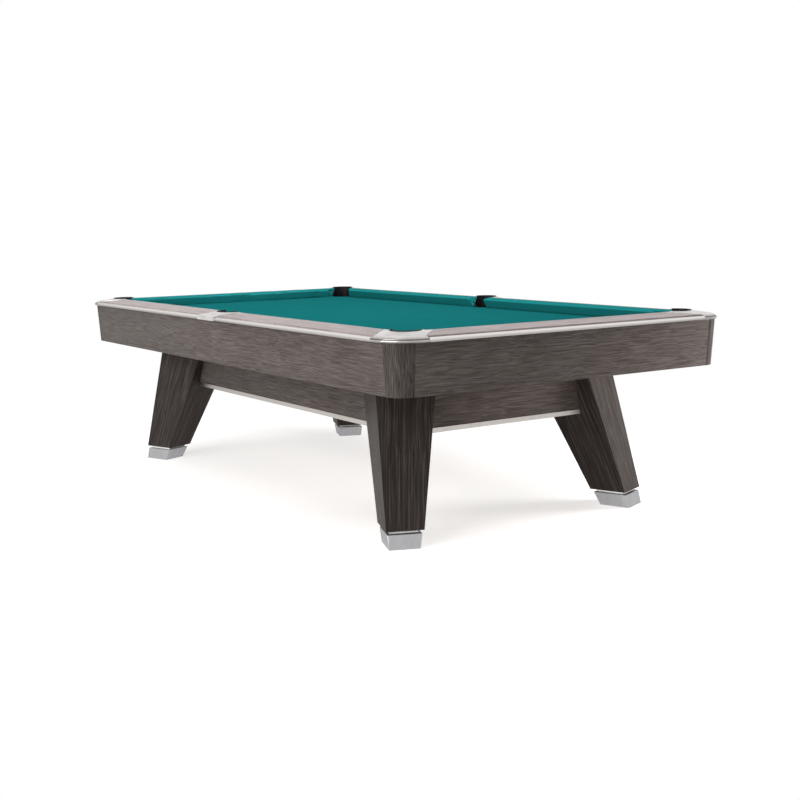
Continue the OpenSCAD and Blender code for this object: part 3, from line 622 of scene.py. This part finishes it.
def side_casting():
    """From one end at the cushion to the other: the plate's slanting edge, the lip along the
    trims' line, and the other edge."""
    hole, lip_end = np.array(SIDE_POCKET) - (0, HALF_W), SIDE_LIP - PLATE_GAP
    edge = np.linspace([PLATE_GAP - SIDE_ARM, CUSHION_W], [-lip_end, TRIM_U], 11)
    lip_line = np.linspace([-lip_end, TRIM_U], [lip_end, TRIM_U], 33)
    outer = np.concatenate([edge, lip_line, edge[::-1] * (-1, 1)])
    counts = [len(edge), len(lip_line), len(edge)]
    reach = np.repeat([0.0, 1.0, 0.0], counts)
    outward = np.broadcast_to([0.0, 1.0], outer.shape)
    start = math.degrees(math.asin((hole[1] - CUSHION_W) / POCKET_R))
    inner = hole + round_hole([180 + start, 140, 40, -start], counts)
    face = RAIL_W - TRIM_U
    crest = EDGE_TOP - (face - CREST_R) * RAIL_FALL / (TRIM_U - CUSHION_W)
    lip = np.concatenate([bow((face - CREST_R, crest - CREST_R), CREST_R, 85, 0, 6),
                          bow((face - HEEL_R, APRON_TOP + HEEL_R), HEEL_R, 0, -90, 4),
                          [[0.0, APRON_TOP]]])
    return casting(inner, outer, outward, reach, lip,
                   lambda x, u: plate_top(u, np.hypot(x, u - hole[1]), TRIM_U - hole[1]))


cast, side_cast = (metal(name, "#f6f3f1", "#a7a3a0", 0.26, 0.12, None, 16.0, 0.004, 0.5, 0.92)
                   for name in ("polished_casting", "polished_side_casting"))
# Painted shade and painted reflections: the corner castings' lips are banded darker and lighter
# with height, darkest in the groove.
painted_shade_by_height(cast, EDGE_TOP, [(0.0, 0.45), (0.18, 0.8), (0.36, 0.15), (0.5, 1), (0.72, 0.45), (0.98, 0)],
       0.95, "#4a4644")
for y_name, x_name in CORNERS:
    a, b, z = corner_casting()
    name = f"corner_casting_{y_name}_{x_name}"
    points = np.stack([SIDES[x_name] * (HALF_L + a), FACES[y_name] * (HALF_W + b), z], -1)
    seat(skin(f"{name}_polished", points, cast, sharp=40), TABLE, "cast_aluminium", name)
for y_name, y_side in FACES.items():
    x, u, z = side_casting()
    name = f"side_casting_{y_name}"
    points = np.stack([x, y_side * (HALF_W + u), z], -1)
    seat(skin(f"{name}_polished", points, side_cast, sharp=40), TABLE, "cast_aluminium", name)


# ---------- Pocket cups ----------
# Six moulded black cups hang from flanges under the castings. A thin lip shows round each
# hole, and the wall is open towards the bed down to the cloth.

moulded = Finish("black_moulding", {"Roughness": 0.5, "Specular IOR Level": 0.15})
pebble = moulded.speckle(moulded.place(), 900.0, 2.0)
moulded.shade({"Base Color": moulded.blend(pebble, paint("#0e0e0f"), paint("#1a1919"))})
moulded.bump(pebble, 0.3, 0.0003)
CUP_R, CUP_WALL, CUP_TOP, CUP_LOW = 0.0567, 0.0037, 0.825, 0.640
CUP_LIP, CUP_SHOULDER, CUP_MOUTH, CUP_WALL_LOW = 0.0012, 0.765, 0.7712, 0.670
CUP_FOOT_R, CUP_FLOOR_R = 0.008, 0.012
FLANGE_R, FLANGE_T, FLANGE_TOP = 0.067, 0.004, PLATE_LOW - 0.0002


def cup(open_from, open_to):
    """A profile (radius, height) turned round the hole's axis. Between two angles, where the
    mouth is, the wall's height drops to the bed."""
    angle = np.concatenate([np.linspace(open_to - 360, open_from, 73),
                            np.linspace(open_from, open_to, 37)])
    in_mouth = np.repeat([False, True], [73, 37])[:, None]
    inside = CUP_R - CUP_WALL
    low = np.concatenate([[[0.0, CUP_LOW]], bow((CUP_R - CUP_FOOT_R, CUP_LOW + CUP_FOOT_R),
                                                CUP_FOOT_R, -90, 0, 6)])
    flange = np.array([[CUP_R, PLATE_LOW - FLANGE_T], [FLANGE_R, PLATE_LOW - FLANGE_T],
                       [FLANGE_R, FLANGE_TOP], [CUP_R, FLANGE_TOP]])
    rim = np.concatenate([bow((CUP_R - CUP_LIP, CUP_TOP - CUP_LIP), CUP_LIP, 0, 90, 4),
                          bow((inside + CUP_LIP, CUP_TOP - CUP_LIP), CUP_LIP, 90, 180, 4)])
    wall = np.array([[inside, CUP_SHOULDER], [inside, CUP_WALL_LOW]])
    floor_edge = bow((inside - CUP_FLOOR_R, CUP_LOW + CUP_WALL + CUP_FLOOR_R), CUP_FLOOR_R,
                     0, -90, 6)
    profile = np.concatenate([low, [[CUP_R, CUP_SHOULDER]], flange, rim, wall, floor_edge,
                              [[0.0, CUP_LOW + CUP_WALL]]])
    above_bed = np.repeat([False, True, False],
                          [len(low) + 1, len(flange) + len(rim), len(wall) + len(floor_edge) + 1])
    cut = above_bed & in_mouth
    radius = np.where(cut, np.minimum(profile[:, 0], CUP_R), profile[:, 0])
    height = np.where(cut, CUP_MOUTH, profile[:, 1])
    turn = np.radians(angle)[:, None]
    return radius * np.cos(turn), radius * np.sin(turn), height


for y_name, x_name in CORNERS:
    past = math.degrees(math.asin((HALF_L + CUSHION_W - CORNER_POCKET[0]) / CUP_R))
    a, b, z = cup(180 - past, 270 + past)
    name = f"pocket_cup_{y_name}_{x_name}"
    points = np.stack([SIDES[x_name] * (CORNER_POCKET[0] + a),
                       FACES[y_name] * (CORNER_POCKET[1] + b), z], -1)
    piece = skin(f"{name}_moulded", points, moulded, round_i=True, round_j=False)
    seat(piece, TABLE, "cup_black", name)
for y_name, y_side in FACES.items():
    short = math.degrees(math.asin((SIDE_POCKET[1] - HALF_W - CUSHION_W) / CUP_R))
    x, u, z = cup(180 + short, 360 - short)
    name = f"pocket_cup_{y_name}_middle"
    points = np.stack([x, y_side * (SIDE_POCKET[1] + u), z], -1)
    piece = skin(f"{name}_moulded", points, moulded, round_i=True, round_j=False)
    seat(piece, TABLE, "cup_black", name)


# ---------- Aprons ----------
# Dark laminate boards that lean in under the rails, glued and screwed to them through blocks,
# with a rounded corner piece of upright grain between two fine seams at each corner.

def soft(corners, radius, steps=4):
    """A section with its corners rounded: each corner is the middle point of a parabola that
    runs between the points a radius away on both its sides."""
    corners = np.array(corners)
    back = np.roll(corners, 1, 0) - corners
    on = np.roll(corners, -1, 0) - corners
    start = corners + radius * back / np.linalg.norm(back, axis=1, keepdims=True)
    stop = corners + radius * on / np.linalg.norm(on, axis=1, keepdims=True)
    t = np.linspace(0, 1, steps + 1)[:, None]
    into, bend, out = (1 - t) ** 2, 2 * t * (1 - t), t ** 2
    curve = into * start[:, None] + bend * corners[:, None] + out * stop[:, None]
    return curve.reshape(-1, 2)


DARK = ("#443d3a", "#5d5552", "#766e6a")
dark_x = laminate("dark_laminate_lengthwise", X, DARK, 270.0, 0.06, 0.014, 0.028, 0.34)
dark_y = laminate("dark_laminate_crosswise", Y, DARK, 270.0, 0.06, 0.014, 0.028, 0.34)
DARK_UPRIGHT = ("#322d2a", "#4b4542", "#655e5a")
dark_z = laminate("dark_laminate_upright", Z, DARK_UPRIGHT, 190.0, 0.06, 0.01, 0.02, 0.34)
APRON_U, APRON_H, APRON_T, APRON_SLANT = 0.156, 0.186, 0.020, 0.012
APRON_R, APRON_SEAM = 0.082, 0.0006
APRON_C = (HALF_L + APRON_U - APRON_R, HALF_W + APRON_U - APRON_R)
APRON = soft([[APRON_U - APRON_T, APRON_TOP], [APRON_U, APRON_TOP],
              [APRON_U - APRON_SLANT, APRON_TOP - APRON_H],
              [APRON_U - APRON_SLANT - APRON_T, APRON_TOP - APRON_H]], 0.0016)


def apron_corner():
    """A bar as long as the quarter circle, its straight middle cut into 32 steps and bent round:
    the run over the corner's radius is the angle, and the distance out is the radius."""
    straight = bar(APRON - (APRON_U - APRON_R, 0), 0, APRON_R * math.pi / 2, 0.001)
    share = np.linspace(0, 1, 33)[:, None]
    run, radius, z = (np.concatenate([part[:4], part[3] * (1 - share) + part[4] * share, part[4:]])
                      for part in straight)
    turn = run / APRON_R
    return radius * np.cos(turn), radius * np.sin(turn), z


for y_name, y_side in FACES.items():
    run = bar(APRON, APRON_SEAM - APRON_C[0], APRON_C[0] - APRON_SEAM, 0.001)
    name = f"{y_name}_apron"
    seat(skin(f"{name}_board", on_side(*run, 1, y_side), dark_x), TABLE, "dark_laminate", name)
for x_name, x_side in SIDES.items():
    run = bar(APRON, APRON_SEAM - APRON_C[1], APRON_C[1] - APRON_SEAM, 0.001)
    name = f"end_apron_{x_name}"
    seat(skin(f"{name}_board", on_end(*run, x_side), dark_y), TABLE, "dark_laminate", name)
for y_name, x_name in CORNERS:
    a, b, z = apron_corner()
    points = np.stack([SIDES[x_name] * (APRON_C[0] + a), FACES[y_name] * (APRON_C[1] + b), z], -1)
    piece = skin(f"apron_corner_{y_name}_{x_name}", points, dark_z)
    seat(piece, TABLE, "dark_laminate", "apron_corners")


# ---------- Beam frame ----------
# Four deep beams of dark laminate carry the joists. A bright strip runs along their lower
# edges between the legs, and blocks in the corners take the leg bolts.

HALF_FRAME_L, HALF_FRAME_W = 1.025, 0.466
BEAM_T, BEAM_LOW, FRAME_TOP = 0.038, 0.393, 0.6596


def beam(outer, half_length):
    """A beam's rounded section, with u outward from the cushion's nose, run along its length."""
    inner = outer - BEAM_T
    corners = [[inner, FRAME_TOP], [outer, FRAME_TOP], [outer, BEAM_LOW], [inner, BEAM_LOW]]
    return bar(soft(corners, 0.0015), -half_length, half_length, 0.0005)


for y_name, y_side in FACES.items():
    run = beam(HALF_FRAME_W - HALF_W, HALF_FRAME_L)
    name = f"{y_name}_beam"
    seat(skin(f"{name}_board", on_side(*run, 1, y_side), dark_x), TABLE, "dark_laminate", name)
for x_name, x_side in SIDES.items():
    run = beam(HALF_FRAME_L - HALF_L, HALF_FRAME_W - BEAM_T)
    name = f"end_beam_{x_name}"
    seat(skin(f"{name}_board", on_end(*run, x_side), dark_y), TABLE, "dark_laminate", name)
strip = metal("brushed_strip", "#cbc6c1", "#b5b0ab", 0.40, 0.10, X)
eased("beam_strips", TABLE, "trim_aluminium", strip, 0.0005)


# ---------- Legs ----------
# Four splayed, tapered legs of dark laminate with upright grain. Each laps round its corner of
# the frame and is held by four bolts from the blocks inside.

LEAN = Vector((0.192, 0.127, -0.5926)).normalized()
DARK_LEG = ("#26211f", "#3c3634", "#5f5753")
leg_laminate = laminate("dark_laminate_leg", tuple(LEAN), DARK_LEG, 230.0, 0.06, 0.006, 0.02, 0.4,
                        splayed=True)
for y_name, x_name in CORNERS:
    eased(f"leg_{y_name}_{x_name}", TABLE, "dark_laminate", leg_laminate, 0.0016)


# ---------- Levelling shoes, screws and bolts ----------
# Cast aluminium shoes with a narrow neck, painted brighter as a highlight, slide in the legs on a
# round post. A screw with a collar in each shoe sets its height; it and the bolts are zinc-plated
# steel.

shoe_metal = metal("polished_shoe", "#b9b9bb", "#9b9b9e", 0.42, 0.14, Z, 60.0, 0.05, 0.15)
NECK_LOW = 0.0553
# Painted highlight: everything on a shoe above NECK_LOW is painted near white, standing in for
# light on the neck.
height = shoe_metal.level()
neck = height.math("GREATER_THAN", height, NECK_LOW)
shoe_metal.shade({"Base Color": shoe_metal.blend(neck, shoe_metal.tone, paint("#f6f6f6"))})
for y_name, x_name in CORNERS:
    name = f"shoe_{y_name}_{x_name}"
    eased(name, name, "cast_aluminium", shoe_metal, 0.0028)
zinc = metal("zinc_plated_steel", "#b9bcbf", "#8f9396", 0.38, 0.15, None, 120.0)
dress(zinc, *[f"screw_{y}_{x}" for y, x in CORNERS], "rail_bolts", "leg_bolts")


# ---------- Floor, lights and camera ----------
# A pale floor that keeps the table's shadow and fades to white further out, four soft boxes,
# and the camera.

FLOOR_LIFT, WORLD_LIGHT = 0.62, 0.18
FADE_SHAPE, FADE_FROM, FADE_TO = (0.42, 0.62, 0.0), 0.65, 1.25


def seen(graph):
    """One where the camera, a mirror or a clear piece looks, and nought for other light: the
    greatest of the three kinds of ray."""
    camera, mirror, clear = (graph.node("ShaderNodeLightPath", output=kind) for kind in (0, 3, 6))
    return camera.math("MAXIMUM", camera.math("MAXIMUM", camera, mirror), clear)


def floor():
    """A large square. What is seen of it is lifted to white, and fades to plain white with the
    distance from the table, which is measured shorter along the table than across it."""
    paper = Finish("pale_floor", {"Roughness": 0.9, "Specular IOR Level": 0.0})
    paper.shade({"Base Color": paint("#eceae8")})
    shown = seen(paper)
    glow = paper.node("ShaderNodeEmission", {}, {"Strength": shown * FLOOR_LIFT})
    bare = Value(paper, paper.shader.outputs[0])
    lifted = paper.node("ShaderNodeAddShader", {}, {0: bare, 1: glow})
    away = paper.vector("LENGTH", paper.vector("MULTIPLY", paper.place(), FADE_SHAPE),
                        (0, 0, 0), 1)
    fade = paper.node("ShaderNodeMapRange", {"interpolation_type": "SMOOTHSTEP"},
                      {"Value": away, "From Min": FADE_FROM, "From Max": FADE_TO})
    white = paper.node("ShaderNodeEmission", {}, {"Strength": 1.0})
    both = paper.node("ShaderNodeMixShader", {}, {0: fade * shown, 1: lifted, 2: white})
    paper.feed(paper.tree.nodes["Material Output"].inputs["Surface"], both)
    mesh = bpy.data.meshes.new("floor")
    mesh.from_pydata([(-20, -20, 0), (20, -20, 0), (20, 20, 0), (-20, 20, 0)], [], [(0, 1, 2, 3)])
    mesh.materials.append(paper.material)
    plane = bpy.data.objects.new("floor", mesh)
    bpy.context.collection.objects.link(plane)


floor()


def softbox(name, where, size, power, target=(0.0, 0.0, 0.6), mirrored=True, spread=180):
    """A rectangular soft lamp turned to its target, with its light spread over an angle in
    degrees. One that isn't mirrored doesn't show in metal, where it would add to the white
    surroundings."""
    light = bpy.data.lights.new(name, "AREA")
    light.shape = "RECTANGLE"
    light.size, light.size_y = size
    light.energy = power
    light.spread = math.radians(spread)
    lamp = bpy.data.objects.new(name, light)
    lamp.location = where
    aim = Vector(target) - Vector(where)
    lamp.rotation_euler = aim.to_track_quat("-Z", "Y").to_euler()
    lamp.visible_glossy = mirrored
    lamp.visible_camera = False
    bpy.context.collection.objects.link(lamp)


softbox("ceiling_softbox", (0.0, 0.0, 5.2), (9.0, 8.0), 240, mirrored=False)
softbox("front_softbox", (1.8, -6.0, 2.4), (4.5, 3.5), 240)
softbox("bed_softbox", (3.5, 0.0, 2.6), (0.8, 0.6), 3.4, (-1.3, 0.0, 0.8), mirrored=False,
        spread=32)
softbox("end_softbox", (1.75, 2.1, 0.5), (0.8, 0.8), 48, (1.2, 0.65, 0.3), mirrored=False)

world = bpy.data.worlds.new("studio")
world.use_nodes = True
bpy.context.scene.world = world
surroundings = Graph(world.node_tree)
background = surroundings.tree.nodes["Background"]
background.inputs["Color"].default_value = (1, 1, 1, 1)
surroundings.feed(background.inputs["Strength"],
                  seen(surroundings) * (1 - WORLD_LIGHT) + WORLD_LIGHT)

# The turns are in radians. The lens and its shifts are in widths of the sensor.
EYE = (4.7588, -3.0124, 1.1881)
YAW, PITCH, ROLL = 2.5592, 0.1498, -0.0159
FOCAL_LENGTH, SHIFT_X, SHIFT_Y = 1.5226875, 0.0128625, 0.008225
look = Vector((math.cos(YAW) * math.cos(PITCH), math.sin(YAW) * math.cos(PITCH),
               -math.sin(PITCH)))
level = Vector((math.sin(YAW), -math.cos(YAW), 0.0))
raised = level.cross(look)
right = math.cos(ROLL) * level + math.sin(ROLL) * raised
up = -math.sin(ROLL) * level + math.cos(ROLL) * raised
camera = bpy.data.objects.new("camera", bpy.data.cameras.new("camera"))
turned = Matrix((right, up, -look)).transposed().to_4x4()
camera.matrix_world = Matrix.Translation(EYE) @ turned
camera.data.lens = FOCAL_LENGTH * camera.data.sensor_width
camera.data.shift_x, camera.data.shift_y = SHIFT_X, SHIFT_Y
bpy.context.collection.objects.link(camera)
bpy.context.scene.camera = camera
bpy.context.scene.view_settings.view_transform = "Standard"
